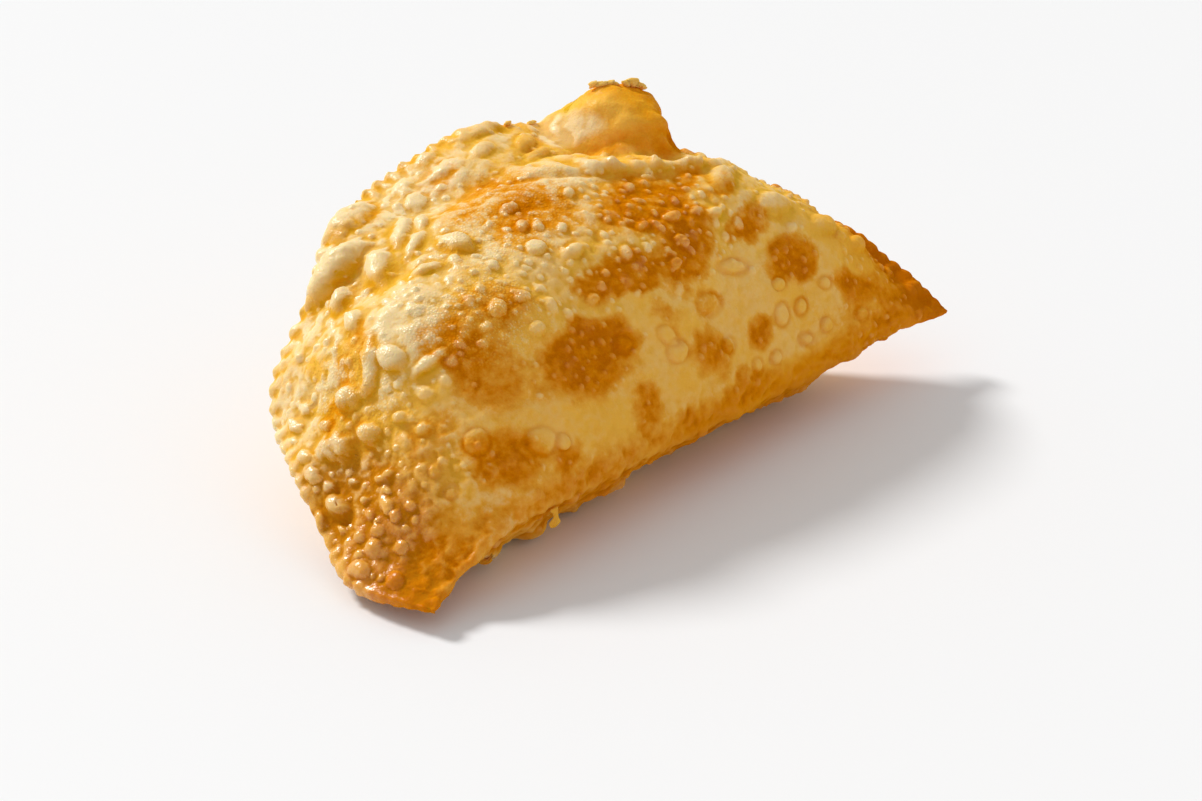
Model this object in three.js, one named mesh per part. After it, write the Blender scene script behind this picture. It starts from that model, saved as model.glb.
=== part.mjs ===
// A cheburek: a half-moon turnover of thin dough, folded over its filling, cut
// round the rim with a fluted wheel and deep-fried until it puffed. It leans on
// its swollen underside, with the straight fold low and the curved rim raised.
// One piece of food, so one closed solid. Millimetres, +Z up; the fold runs
// along X and the rim is on the +Y side.
import * as THREE from 'three';

// ---------- the flat half-moon, before it is lifted into shape ----------
// rim distance from the middle of the fold, by angle from the +X tip (degrees, mm)
const REACH = [
  [0, 106], [25, 103.6], [36, 102.4], [48, 103.8], [62, 107], [80, 109.2], [98, 112.6],
  [112, 114], [123, 110.8], [134, 114], [150, 107.6], [165, 108.4], [180, 103],
];
// width of the thin pressed band inside the rim, by the same angle
const BAND = [[0, 5], [45, 6], [70, 14], [90, 16], [110, 14], [130, 10], [155, 8], [180, 8]];
const MEAN_REACH = 106;
const TOOTH_COUNT = 81;
const TOOTH_DEPTH = 1.3;
const SHEET_HALF = 1.2;

// ---------- how it stands ----------
// how steeply the half-moon leans back, by place along the fold (mm, degrees)
const LEAN = [
  [-106, -4], [-95, 8], [-80, 10.5], [-52, 25.5], [-24, 28.9],
  [2, 34.5], [33, 34.7], [70, 34.8], [106, 34.3],
];
// the fold is drawn in and held up by the puffing, and its near corner hangs down:
// how far in and how high it runs, by place along it (mm)
const FOLD_IN = [[-104, 2.2], [-94, 6.4], [-84, 6.2], [-60, 5], [60, 5], [92, 2.4], [106, 0]];
const FOLD_HEIGHT = [
  [-104, 6], [-94, 7.4], [-84, 12.5], [-74, 15.8], [0, 15.8], [48, 15.2], [84, 16.4], [106, 17],
];
const DOUGH_SHORTENING = 0.985;
const REST_SOFTENING = 2;

// ---------- how it puffed ----------
// lists of pairs here run by the same angle from the far tip (degrees)
const TOP_PUFF = 30;
const TOP_RISE_LENGTH = 78;
// over what length the top swells inward from the band, and how slowly it starts
const TOP_EDGE_LENGTH = [
  [0, 36], [40, 36], [55, 46], [70, 60], [110, 66], [130, 60], [160, 50], [180, 40],
];
const TOP_EDGE_POWER = [[0, 0.7], [40, 0.75], [55, 0.95], [70, 1.35], [90, 1.7], [130, 1.3], [180, 1.1]];
// both sheets bow up together inside the rim, so that the rim lies back
const BOW = [[0, 0], [35, 2], [60, 8], [90, 13], [130, 15], [160, 8], [180, 4]];
const BOW_LENGTH = 40;
// the crest of the puff and the rim are parted by a shallow valley
const VALLEY_FROM_RIM = [[45, 16], [60, 24], [90, 24], [105, 20], [130, 18]];
const VALLEY_DEPTH = [[45, 0], [58, 2], [72, 3], [92, 2.4], [104, 1.6], [116, 1], [130, 0]];
const VALLEY_HALF = 5.5;
const BOTTOM_PUFF = 43;
const BOTTOM_RISE_LENGTH = 30;
const BOTTOM_EDGE_LENGTH = 60;
const FOLD_ROUNDING = 2.5;

// the one great bubble that lifts the far rim: middle, half sizes, turn, height
const RIM_BUBBLE = { u: 45.5, v: 91, long: 22.5, wide: 21, turn: -15, height: 18.5 };
const RIM_BUBBLE_CROWN = 0.95;
const RIM_BUBBLE_BELOW = 0.5;

// large blisters on the upper face: middle on the flat sheet, half length and half
// width, turn from the fold's direction, height
const UPPER_BLISTERS = [
  [-54, 90, 9.5, 6.5, -3, 4.2], [-50, 79, 6.5, 5, 70, 3.2], [-57, 80, 5, 3.8, 90, 2],
  [-42.5, 101, 7, 5.5, 33, 2], [-35.5, 70.5, 5.5, 4.5, -50, 2], [-22, 102.5, 5, 4, 60, 1.8],
  [-10, 107, 6, 4.5, 19, 2], [-10, 99, 7, 4.5, -9, 1.8], [8, 105, 9, 4.5, -3, 2.4],
  [14, 96, 8.5, 4.5, 27, 2.2], [-74, 54, 6, 4.6, -72, 2.8], [-78, 66, 5, 4, -68, 2],
  [-78, 40.5, 5, 4.5, -80, 2.6], [-84, 49.5, 5.5, 4.5, -66, 2.6], [-92.5, 40.5, 6, 5.5, 80, 3.2],
  [-84, 31, 5, 4, -48, 2.2], [-97, 26, 5.5, 4.5, 60, 2.8], [-100, 15, 5, 4.5, 40, 2.4],
  [50, 56, 12, 6, 33, 2], [58, 43, 9, 6, -6, 1.8], [74, 32, 9, 5, 5, 2.2], [97, 14, 7, 5, 22, 1.8],
];
// the same on the underside, which nobody sees until it is picked up
const LOWER_BLISTERS = [
  [-60, 84, 9, 6, 30, 3], [-30, 98, 8, 6, 0, 2.6], [8, 100, 10, 6, -10, 3],
  [40, 78, 8, 7, -30, 2.6], [66, 58, 8, 5, -45, 2.4], [84, 34, 6, 5, -50, 2],
  [-82, 58, 7, 6, 60, 2.4], [-10, 84, 6, 6, 0, 2.2], [22, 88, 6, 5, 0, 2],
  [-70, 7, 6, 4.5, 0, 2.2], [-54, 7, 7, 4.5, 0, 2.4], [-36, 7, 5, 4, 0, 1.2], [56, 4, 9, 4, 0, 1.6],
];

// ---------- mesh fineness ----------
const COLUMNS = TOOTH_COUNT - 1;
const ROWS = 24;
const ROW_CROWDING = 1.35;
const STEP = 0.4;

const radians = THREE.MathUtils.degToRad;
const degrees = THREE.MathUtils.radToDeg;

// a smooth curve through (place, value) knots
function along(knots, place) {
  const last = knots.length - 1;
  const x = THREE.MathUtils.clamp(place, knots[0][0], knots[last][0]);
  let k = 0;
  while (k < last - 1 && x > knots[k + 1][0]) {
    k += 1;
  }
  const slope = (n) => {
    const a = Math.max(n - 1, 0);
    const b = Math.min(n + 1, last);
    return (knots[b][1] - knots[a][1]) / (knots[b][0] - knots[a][0]);
  };
  const width = knots[k + 1][0] - knots[k][0];
  const t = (x - knots[k][0]) / width;
  const rise = knots[k + 1][1] - knots[k][1];
  const blend = t * t * (3 - 2 * t);
  const start = t * (1 - t) * (1 - t) * width * slope(k);
  const end = t * t * (t - 1) * width * slope(k + 1);
  return knots[k][1] + rise * blend + start + end;
}

// 0 at `from`, 1 at `to`, eased at both ends; either may be the larger
function between(from, to, x) {
  const t = THREE.MathUtils.clamp((x - from) / (to - from), 0, 1);
  return t * t * (3 - 2 * t);
}

// rises from 0 to 1 over a length, steep at first when the power is small
function swell(x, length, power) {
  const t = THREE.MathUtils.clamp(x / length, 0, 1);
  return Math.sin((t * Math.PI) / 2) ** power;
}

// angle from the far tip, in radians and in degrees, and distance in from the rim
function polar(u, v) {
  const angle = Math.atan2(v, u);
  const place = degrees(angle);
  return { angle, place, fromRim: along(REACH, place) - Math.hypot(u, v) };
}

// the pressed band ripples where the dough shrank: long waves on the near half,
// short ones towards the far tip
function ripple(u, v) {
  const { angle, fromRim } = polar(u, v);
  const arc = angle * MEAN_REACH;
  const inBand = between(34, 4, fromRim) * between(4, 30, v);
  const nearHalf = 0.9 * Math.sin(arc / 8.3) + 0.6 * Math.sin(arc / 4.9 + 2.1);
  const farHalf = 0.9 * Math.sin(arc / 4.2);
  return inBand * (nearHalf * between(-20, -60, u) + farHalf * between(40, 60, u));
}

function rimBubble(u, v) {
  const turn = radians(RIM_BUBBLE.turn);
  const du = u - RIM_BUBBLE.u;
  const dv = v - RIM_BUBBLE.v;
  const a = (du * Math.cos(turn) + dv * Math.sin(turn)) / RIM_BUBBLE.long;
  const b = (dv * Math.cos(turn) - du * Math.sin(turn)) / RIM_BUBBLE.wide;
  return RIM_BUBBLE.height * between(0, RIM_BUBBLE_CROWN, 1 - a * a - b * b);
}

function bow(u, v) {
  const { place, fromRim } = polar(u, v);
  return along(BOW, place) * swell(fromRim, BOW_LENGTH, 1) * between(0, BOTTOM_RISE_LENGTH, v);
}

// the valley, and the low crest that it leaves beside it
function valley(u, v) {
  const { place, fromRim } = polar(u, v);
  const across = (fromRim - along(VALLEY_FROM_RIM, place)) / VALLEY_HALF;
  const crest = 0.35 * Math.exp(-((across - 2) ** 2));
  return along(VALLEY_DEPTH, place) * (crest - Math.exp(-across * across));
}

// the middle of the two dough sheets, leaning back from the fold
function leaningSheet(u, v) {
  const lean = radians(along(LEAN, u));
  const run = v * DOUGH_SHORTENING;
  return new THREE.Vector3(
    u,
    along(FOLD_IN, u) + run * Math.cos(lean),
    along(FOLD_HEIGHT, u) + run * Math.sin(lean),
  );
}

// outward direction of a face given as a function of the flat sheet
function outward(face, u, v) {
  const alongFold = face(u + STEP, v).sub(face(u - STEP, v));
  const towardRim = face(u, v + STEP).sub(face(u, v - STEP));
  return alongFold.cross(towardRim).normalize();
}

// how far the upper and the lower face stand out from the leaning sheet
function upperLift(u, v) {
  const { place, fromRim } = polar(u, v);
  const inside = fromRim - along(BAND, place);
  const edge = swell(inside, along(TOP_EDGE_LENGTH, place), along(TOP_EDGE_POWER, place));
  const puff = TOP_PUFF * swell(v, TOP_RISE_LENGTH, 0.75) - bow(u, v);
  return rimBubble(u, v) + valley(u, v) + puff * edge;
}

function lowerLift(u, v) {
  const { place, fromRim } = polar(u, v);
  const inside = fromRim - along(BAND, place);
  const puff = BOTTOM_PUFF * swell(v, BOTTOM_RISE_LENGTH, 0.8) + bow(u, v);
  const follow = 1 - RIM_BUBBLE_BELOW * between(0, 12, fromRim);
  return rimBubble(u, v) * follow - puff * swell(inside, BOTTOM_EDGE_LENGTH, 0.9);
}

// the two faces without their blisters; side is 1 for the upper, -1 for the lower
function plainFace(side) {
  return (u, v) => {
    const lift = side > 0 ? upperLift(u, v) : lowerLift(u, v);
    const roundFold = 1 - THREE.MathUtils.clamp(v / FOLD_ROUNDING, 0, 1);
    const sheet = side * SHEET_HALF * Math.sqrt(1 - roundFold * roundFold);
    const away = outward(leaningSheet, u, v);
    return leaningSheet(u, v).addScaledVector(away, lift + bow(u, v) + ripple(u, v) + sheet);
  };
}

// where a blister's dome stands on its face, and which way it runs
function seatBlister(face, side, [u, v, long, wide, turn, height]) {
  const seat = face(u, v);
  const out = outward(face, u, v).multiplyScalar(side);
  const fold = face(u + STEP, v).sub(seat);
  fold.addScaledVector(out, -fold.dot(out)).normalize();
  const run = fold.applyAxisAngle(out, radians(turn) * side);
  const cross = new THREE.Vector3().crossVectors(out, run);
  return { seat, out, run, cross, long, wide, height };
}

function blisterHeight(point, blister) {
  const d = point.clone().sub(blister.seat);
  const a = d.dot(blister.run) / blister.long;
  const b = d.dot(blister.cross) / blister.wide;
  const c = d.dot(blister.out) / (2 * blister.wide);
  return blister.height * between(0, 1, 1 - a * a - b * b - c * c);
}

// soft food settles on a small flat: points below the plate come up to it
function settle(point) {
  const k = REST_SOFTENING;
  if (point.z <= -k) {
    point.z = 0;
  } else if (point.z < k) {
    point.z = (point.z + k) ** 2 / (4 * k);
  }
  return point;
}

function finishedFace(side, blisters) {
  const face = plainFace(side);
  const seated = blisters.map((blister) => seatBlister(face, side, blister));
  return (u, v) => {
    const point = face(u, v);
    const out = outward(face, u, v).multiplyScalar(side);
    const height = seated.reduce((sum, blister) => sum + blisterHeight(point, blister), 0);
    return settle(point.addScaledVector(out, height));
  };
}

// place on the flat sheet: column 0 and COLUMNS + 1 are the two corners, row 0 is
// the fold and row ROWS the rim; the rim's half columns are the notches
function flatPlace(column, row) {
  const i = column / (COLUMNS + 1);
  const angle = Math.PI * (1 - i);
  const reach = along(REACH, degrees(angle));
  const notch = row === ROWS ? (TOOTH_DEPTH / 2) * Math.cos(2 * Math.PI * column) : 0;
  const [near, far] = [REACH[REACH.length - 1][1], REACH[0][1]];
  const foldU = (far - near) / 2 + ((far + near) / 2) * (0.55 * Math.cos(angle) + 0.45 * (2 * i - 1));
  const j = (row / ROWS) ** ROW_CROWDING;
  const rim = reach + notch;
  return [foldU + (rim * Math.cos(angle) - foldU) * j, rim * Math.sin(angle) * j];
}

function makeCrust() {
  const faces = [finishedFace(1, UPPER_BLISTERS), finishedFace(-1, LOWER_BLISTERS)];
  const points = [];
  const triangles = [];
  const addPoint = (point) => points.push(point) - 1;
  const addTriangle = (upper, a, b, c) => triangles.push(upper ? [a, b, c] : [a, c, b]);

  const nearCorner = addPoint(settle(leaningSheet(...flatPlace(0, 0))));
  const farTip = addPoint(settle(leaningSheet(...flatPlace(COLUMNS + 1, 0))));
  const fold = [];
  for (let column = 1; column <= COLUMNS; column += 1) {
    const [u, v] = flatPlace(column, 0);
    fold.push(addPoint(settle(leaningSheet(u, v))));
  }

  const rims = faces.map((face, index) => {
    const upper = index === 0;
    // inner grid, from the shared fold to the last row before the rim
    const grid = fold.map((start, k) => {
      const line = [start];
      for (let row = 1; row < ROWS; row += 1) {
        line.push(addPoint(face(...flatPlace(k + 1, row))));
      }
      return line;
    });
    for (let k = 0; k < COLUMNS - 1; k += 1) {
      for (let row = 0; row < ROWS - 1; row += 1) {
        addTriangle(upper, grid[k][row], grid[k + 1][row], grid[k + 1][row + 1]);
        addTriangle(upper, grid[k][row], grid[k + 1][row + 1], grid[k][row + 1]);
      }
    }
    // both corners close in a fan
    for (let row = 0; row < ROWS - 1; row += 1) {
      addTriangle(upper, nearCorner, grid[0][row], grid[0][row + 1]);
      addTriangle(upper, grid[COLUMNS - 1][row], farTip, grid[COLUMNS - 1][row + 1]);
    }
    // toothed rim: a notch on each side of every tooth
    const rim = [];
    for (let half = 1; half <= 2 * COLUMNS + 1; half += 1) {
      rim.push(addPoint(face(...flatPlace(half / 2, ROWS))));
    }
    const inner = grid.map((line) => line[ROWS - 1]);
    for (let k = 0; k < COLUMNS; k += 1) {
      addTriangle(upper, inner[k], rim[2 * k + 1], rim[2 * k]);
      addTriangle(upper, inner[k], rim[2 * k + 2], rim[2 * k + 1]);
      if (k < COLUMNS - 1) {
        addTriangle(upper, inner[k], inner[k + 1], rim[2 * k + 2]);
      }
    }
    addTriangle(upper, nearCorner, inner[0], rim[0]);
    addTriangle(upper, inner[COLUMNS - 1], farTip, rim[2 * COLUMNS]);
    return [nearCorner, ...rim, farTip];
  });

  // the cut edge between the two sheets
  const [top, bottom] = rims;
  for (let k = 0; k < top.length - 1; k += 1) {
    if (top[k] !== bottom[k]) {
      triangles.push([top[k], top[k + 1], bottom[k]]);
    }
    if (top[k + 1] !== bottom[k + 1]) {
      triangles.push([top[k + 1], bottom[k + 1], bottom[k]]);
    }
  }

  const geometry = new THREE.BufferGeometry().setFromPoints(points);
  geometry.setIndex(triangles.flat());
  geometry.computeBoundingBox();
  const box = geometry.boundingBox;
  geometry.translate(-(box.min.x + box.max.x) / 2, -(box.min.y + box.max.y) / 2, -box.min.z);
  geometry.computeVertexNormals();
  return geometry;
}

const crust = new THREE.MeshStandardMaterial({ color: 0xd9a14a, roughness: 0.45, metalness: 0 });
const cheburek = new THREE.Mesh(makeCrust(), crust);
cheburek.name = 'cheburek';

const part = new THREE.Group();
part.name = 'cheburek_part';
part.add(cheburek);

export default part;
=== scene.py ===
import math

import bmesh
import bpy
import numpy as np
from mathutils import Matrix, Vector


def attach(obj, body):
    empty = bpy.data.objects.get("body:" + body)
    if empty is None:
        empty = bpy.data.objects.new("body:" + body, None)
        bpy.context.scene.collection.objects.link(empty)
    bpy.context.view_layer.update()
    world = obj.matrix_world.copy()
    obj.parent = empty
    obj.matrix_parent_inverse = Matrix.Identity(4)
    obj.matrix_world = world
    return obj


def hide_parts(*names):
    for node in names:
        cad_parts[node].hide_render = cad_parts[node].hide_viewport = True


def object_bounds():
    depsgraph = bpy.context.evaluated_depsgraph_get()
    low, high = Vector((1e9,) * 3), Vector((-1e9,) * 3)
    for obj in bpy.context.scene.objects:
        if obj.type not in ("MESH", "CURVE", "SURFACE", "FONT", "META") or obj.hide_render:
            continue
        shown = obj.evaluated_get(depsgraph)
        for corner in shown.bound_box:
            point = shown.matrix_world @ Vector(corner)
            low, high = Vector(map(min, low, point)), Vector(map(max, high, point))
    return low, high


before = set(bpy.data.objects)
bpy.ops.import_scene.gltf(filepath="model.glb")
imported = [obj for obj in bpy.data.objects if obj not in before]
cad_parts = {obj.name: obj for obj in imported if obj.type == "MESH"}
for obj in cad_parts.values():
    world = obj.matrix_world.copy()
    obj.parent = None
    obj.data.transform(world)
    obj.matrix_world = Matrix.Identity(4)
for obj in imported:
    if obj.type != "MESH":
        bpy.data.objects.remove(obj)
cad_box = [list(corner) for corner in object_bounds()]

# ---------------------------------------------------------------------------
# The dough half-moon: a round of thin wheat dough folded over its filling, its
# rim pressed and cut with a fluted wheel, then puffed in hot oil until it stands
# on its swollen underside. Two faces worked out over the flat sheet, in mm.
# ---------------------------------------------------------------------------
# rim distance from the middle of the fold, by angle from the far tip
REACH = (
    (0, 106), (25, 103.6), (36, 102.4), (48, 103.8), (62, 107), (80, 109.2), (98, 112.6),
    (112, 114), (123, 110.8), (134, 114), (150, 107.6), (165, 108.4), (180, 103),
)
# width of the thin pressed band inside the rim, by the same angle
BAND = ((0, 5), (45, 6), (70, 14), (90, 16), (110, 14), (130, 10), (155, 8), (180, 8))
# lean of the half-moon, and the run of its fold, by place along the fold
LEAN = (
    (-106, -4), (-95, 8), (-80, 10.5), (-52, 25.5), (-24, 28.9),
    (2, 34.5), (33, 34.7), (70, 34.8), (106, 34.3),
)
FOLD_IN = ((-104, 2.2), (-94, 6.4), (-84, 6.2), (-60, 5), (60, 5), (92, 2.4), (106, 0))
FOLD_HEIGHT = (
    (-104, 6), (-94, 7.4), (-84, 12.5), (-74, 15.8), (0, 15.8), (48, 15.2), (84, 16.4), (106, 17),
)
# how the top swells inward from the band, by angle: over what length, how slowly
TOP_EDGE_LENGTH = (
    (0, 36), (40, 36), (55, 46), (70, 60), (110, 66), (130, 60), (160, 50), (180, 40),
)
TOP_EDGE_POWER = ((0, 0.7), (40, 0.75), (55, 0.95), (70, 1.35), (90, 1.7), (130, 1.3), (180, 1.1))
# both sheets bow up inside the rim; a valley parts the crest of the puff from it
BOW = ((0, 0), (35, 2), (60, 8), (90, 13), (130, 15), (160, 8), (180, 4))
VALLEY_FROM_RIM = ((45, 16), (60, 24), (90, 24), (105, 20), (130, 18))
VALLEY_DEPTH = ((45, 0), (58, 2), (72, 3), (92, 2.4), (104, 1.6), (116, 1), (130, 0))
MEAN_REACH = 106
# what is left of the flat sheet's run once it has shrunk in the oil
RUN_LEFT = 0.985
# the pinking wheel's marks on the rim
TOOTH_COUNT = 81
TOOTH_DEPTH = 1.3
FLUTE_DEPTH = 0.45
# half the dough's thickness, and how far in from the fold it is rounded over
SHEET_HALF = 1.2
FOLD_ROUND = 2.5
# how far each face stands out from the sheet where it puffed most
UPPER_PUFF = 30
LOWER_PUFF = 43
# the great bubble: middle and half widths on the flat sheet, turn, height
BUBBLE_MIDDLE = (45.5, 91)
BUBBLE_HALF = (22.5, 21)
BUBBLE_TURN = -15
BUBBLE_RISE = 18.5
# the brow in front of it: middle, half length, half width, slant, height
BROW_MIDDLE = (28, 75)
BROW_HALF = (36, 9.5)
BROW_SLANT = 0.4
BROW_RISE = 5.6
# the step over which a face's slope is read
STEP = 0.4


def along(knots, place):
    """A smooth curve through (place, value) knots."""
    x, y = np.array(knots, float).T
    n = np.arange(len(x))
    before = np.maximum(n - 1, 0)
    after = np.minimum(n + 1, len(x) - 1)
    slope = (y[after] - y[before]) / (x[after] - x[before])
    p = np.clip(place, x[0], x[-1])
    k = np.clip(np.searchsorted(x, p) - 1, 0, len(x) - 2)
    width = x[k + 1] - x[k]
    t = (p - x[k]) / width
    ends = t * (1 - t) ** 2 * width * slope[k] + t * t * (t - 1) * width * slope[k + 1]
    return y[k] + (y[k + 1] - y[k]) * t * t * (3 - 2 * t) + ends


def between(low, high, x):
    """0 at low, 1 at high, eased at both ends."""
    t = np.clip((x - low) / (high - low), 0, 1)
    return t * t * (3 - 2 * t)


def swell(x, length, power):
    """0 at 0, rising roundly to 1 over the given length."""
    return np.sin(np.pi / 2 * np.clip(x / length, 0, 1)) ** power


def unit(vectors):
    return vectors / np.maximum(np.linalg.norm(vectors, axis=-1, keepdims=True), 1e-12)


def polar(u, v):
    """Angle from the far tip in degrees, and distance in from the rim."""
    place = np.degrees(np.arctan2(v, u))
    return place, along(REACH, place) - np.hypot(u, v)


def wheel_mark(place):
    """The teeth show best along the near rim; where it puffed or browned they are almost gone."""
    shown = 0.35 + 0.65 * between(86, 98, place)
    puffed = 0.7 * np.exp(-(((place - 113) / 5) ** 2))
    corner = 0.35 * between(126, 134, place) + 0.2 * between(146, 156, place)
    corner = corner + 0.35 * between(163, 172, place)
    return shown * (1 - puffed) * (1 - corner)


def ripple(u, v):
    """The pressed band waves where the dough shrank."""
    place, from_rim = polar(u, v)
    arc = np.radians(place) * MEAN_REACH
    near_half = 0.9 * np.sin(arc / 8.3) + 0.6 * np.sin(arc / 4.9 + 2.1)
    far_half = 0.9 * np.sin(arc / 4.2)
    in_band = between(34, 4, from_rim) * between(4, 30, v)
    return in_band * (near_half * between(-20, -60, u) + far_half * between(40, 60, u))


def flutes(u, v):
    """The wheel left a ridge behind every tooth of the rim."""
    place, from_rim = polar(u, v)
    wave = np.cos(np.radians(place) * TOOTH_COUNT * 2)
    return FLUTE_DEPTH * wave * between(5, 1, from_rim) * wheel_mark(place)


def rim_bubble(u, v):
    """The one great bubble that lifts the far rim."""
    turn = math.radians(BUBBLE_TURN)
    du, dv = u - BUBBLE_MIDDLE[0], v - BUBBLE_MIDDLE[1]
    a = (du * math.cos(turn) + dv * math.sin(turn)) / BUBBLE_HALF[0]
    b = (dv * math.cos(turn) - du * math.sin(turn)) / BUBBLE_HALF[1]
    # round toward the near corner, a straight slope toward the far tip
    dome = between(0, 0.95, 1 - a * a - b * b)
    slope = np.clip(1.12 - 1.05 * np.hypot(a, b), 0, 1)
    return BUBBLE_RISE * (dome + (slope - dome) * between(0.1, 0.6, a))


def brow(u, v):
    """The crest of the puff rises into a soft brow in front of the bubble."""
    middle_u, middle_v = BROW_MIDDLE
    lengthways = (u - middle_u) / BROW_HALF[0]
    across = (v - middle_v + BROW_SLANT * (u - middle_u)) / BROW_HALF[1]
    uneven = 1 + 0.16 * np.sin(0.43 * u + 0.6) + 0.1 * np.sin(1.05 * u)
    return BROW_RISE * uneven * between(0, 1, 1 - lengthways ** 2 - across ** 2)


def bow(u, v):
    """How far both sheets bow up inside the rim."""
    place, from_rim = polar(u, v)
    return along(BOW, place) * swell(from_rim, 40, 1) * between(0, 30, v)


def valley(u, v):
    """The valley between the crest of the puff and the rim, and the low ridge inside it."""
    place, from_rim = polar(u, v)
    across = (from_rim - along(VALLEY_FROM_RIM, place)) / 5.5
    crest = 0.35 * np.exp(-((across - 2) ** 2))
    return along(VALLEY_DEPTH, place) * (crest - np.exp(-across * across))


def leaning_sheet(u, v):
    """The middle of the dough before it puffed: straight from the fold up to the rim."""
    lean = np.radians(along(LEAN, u))
    run = v * RUN_LEFT
    return np.stack(
        [u, along(FOLD_IN, u) + run * np.cos(lean), along(FOLD_HEIGHT, u) + run * np.sin(lean)],
        axis=-1,
    )


def outward(face, u, v):
    """The upward normal of a face."""
    along_fold = face(u + STEP, v) - face(u - STEP, v)
    toward_rim = face(u, v + STEP) - face(u, v - STEP)
    return unit(np.cross(along_fold, toward_rim))


def raised(u, v, lift, side):
    """The leaning sheet lifted, with half the dough's thickness on the given side."""
    sheet = SHEET_HALF * np.sqrt(1 - (1 - np.clip(v / FOLD_ROUND, 0, 1)) ** 2) + flutes(u, v)
    lift = lift + bow(u, v) + ripple(u, v) + side * sheet
    return leaning_sheet(u, v) + outward(leaning_sheet, u, v) * lift[..., None]


def upper_face(u, v):
    place, from_rim = polar(u, v)
    inside = from_rim - along(BAND, place)
    edge = swell(inside, along(TOP_EDGE_LENGTH, place), along(TOP_EDGE_POWER, place))
    puff = UPPER_PUFF * swell(v, 78, 0.75) - bow(u, v)
    return raised(u, v, rim_bubble(u, v) + brow(u, v) + valley(u, v) + puff * edge, 1)


def lower_face(u, v):
    place, from_rim = polar(u, v)
    inside = from_rim - along(BAND, place)
    puff = LOWER_PUFF * swell(v, 30, 0.8) + bow(u, v)
    follow = 1 - 0.5 * between(0, 12, from_rim)
    return raised(u, v, rim_bubble(u, v) * follow - puff * swell(inside, 60, 0.9), -1)


def flat_place(turn, j):
    """Place on the flat sheet: turn runs 0 to 1 from near corner to far tip, j from fold to rim."""
    angle = np.pi * (1 - turn)
    place = np.degrees(angle)
    tooth = 2 * np.abs(np.cos(np.pi * TOOTH_COUNT * turn)) ** 0.8 - 1
    tooth = tooth * between(0.94, 1, j) * wheel_mark(place)
    rim = along(REACH, place) + TOOTH_DEPTH / 2 * tooth
    near, far = REACH[-1][1], REACH[0][1]
    fold = (far - near) / 2 + (far + near) / 2 * (0.55 * np.cos(angle) + 0.45 * (2 * turn - 1))
    return fold + (rim * np.cos(angle) - fold) * j, rim * np.sin(angle) * j


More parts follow.
